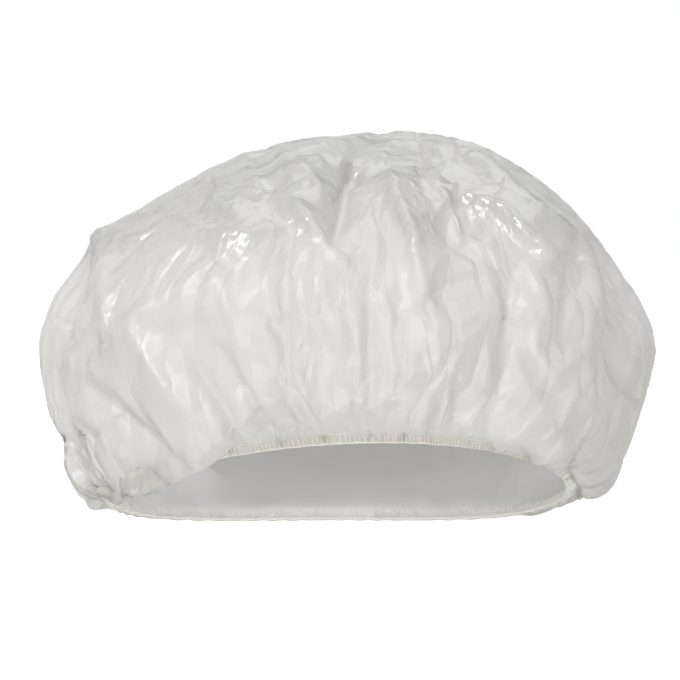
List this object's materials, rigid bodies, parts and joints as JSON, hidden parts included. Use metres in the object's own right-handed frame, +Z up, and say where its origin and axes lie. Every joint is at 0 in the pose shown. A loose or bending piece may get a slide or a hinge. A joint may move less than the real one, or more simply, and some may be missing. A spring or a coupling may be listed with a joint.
{
  "type": "shampoo cap",
  "caption": "Rinse-free shampoo cap: puffed plastic film over an absorbent nonwoven liner, gathered onto an elastic tape and overlocked round the mouth.",
  "frame": {"origin": "middle of the cap's outer size in plan, on the surface that it stands on", "axes": "+Z up through the crown, front of the cap (its lifted hem) towards -Y, +X to the right of a viewer in front of it"},
  "size_m": [0.2784, 0.2668, 0.173],
  "materials": {
    "film": "translucent milky film",
    "nonwoven": "cloudy spunlace nonwoven",
    "elastic": "matt",
    "thread": "spun polyester"
  },
  "bodies": {
    "root": {"outer_film": "film", "absorbent_liner": "nonwoven", "hem_elastic": "elastic", "looper_thread": "thread", "needle_thread": "thread"}
  },
  "joints": []
}
